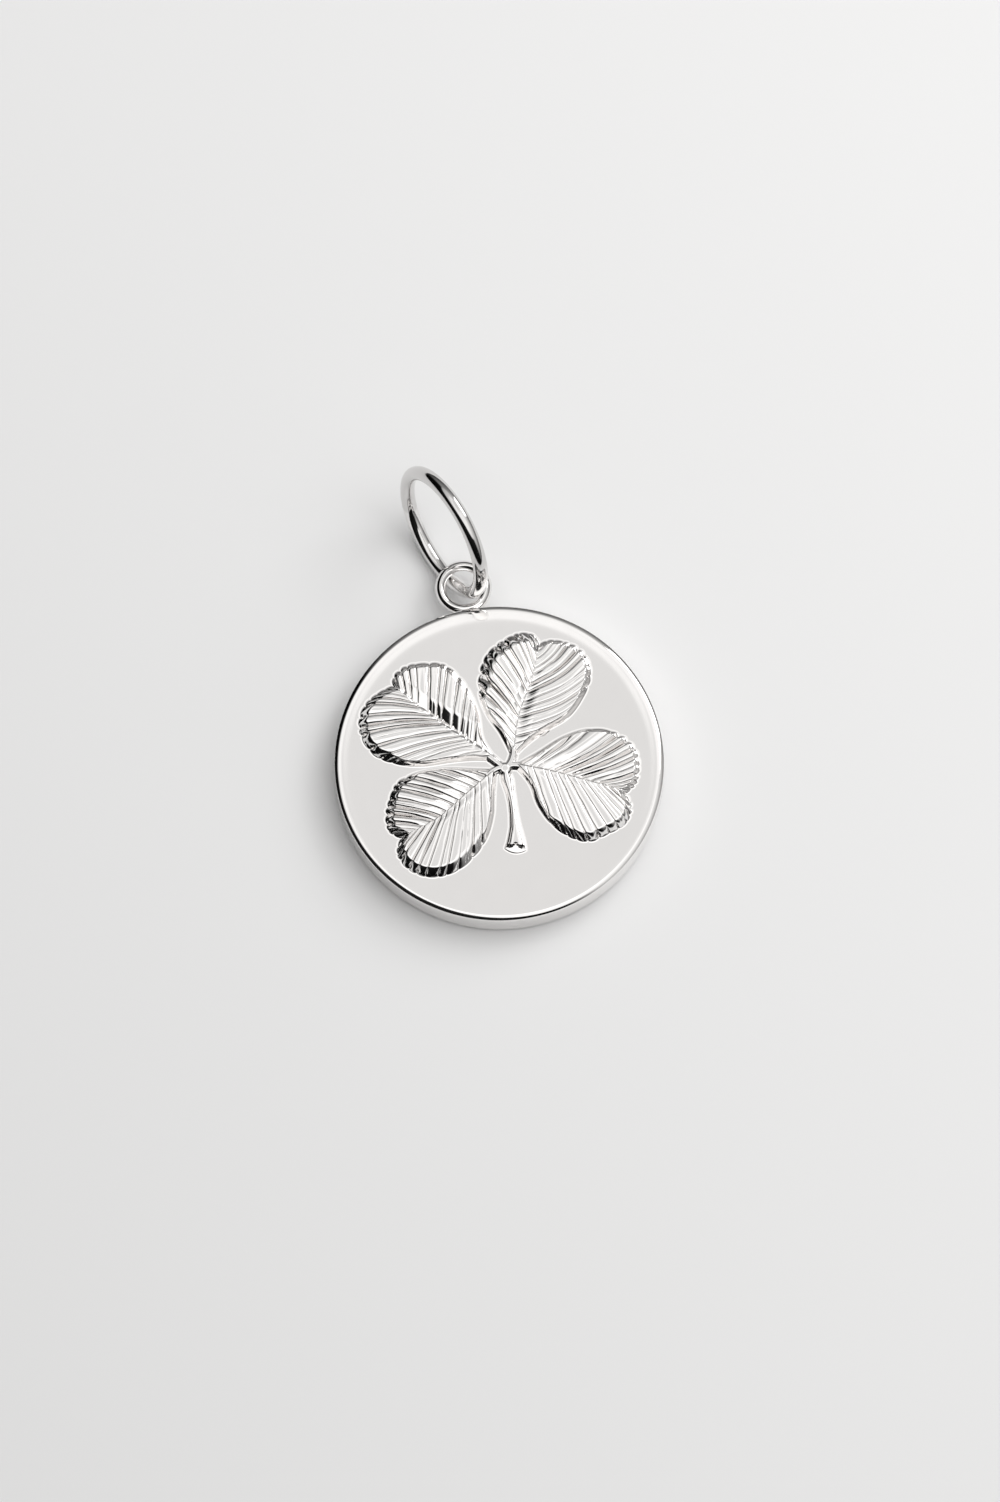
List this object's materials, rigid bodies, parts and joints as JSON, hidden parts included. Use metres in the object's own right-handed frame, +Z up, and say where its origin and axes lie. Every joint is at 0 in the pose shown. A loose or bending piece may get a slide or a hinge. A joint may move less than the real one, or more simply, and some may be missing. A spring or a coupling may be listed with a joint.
{
  "type": "pendant",
  "caption": "Round polished silver pendant with a raised, fluted clover on its face, a small eye soldered to the rim and a loose bail ring for a chain.",
  "frame": {"origin": "middle of the disc's flat back, on the surface that the pendant lies on", "axes": "+Z up through the disc to the relief, +Y from the disc to its eye, +X to the right as the face is read"},
  "size_m": [0.018, 0.0257, 0.0079],
  "materials": {
    "silver": "mirror polished sterling silver"
  },
  "bodies": {
    "root": {"medallion": "silver", "bail_ring": "silver"}
  },
  "joints": []
}
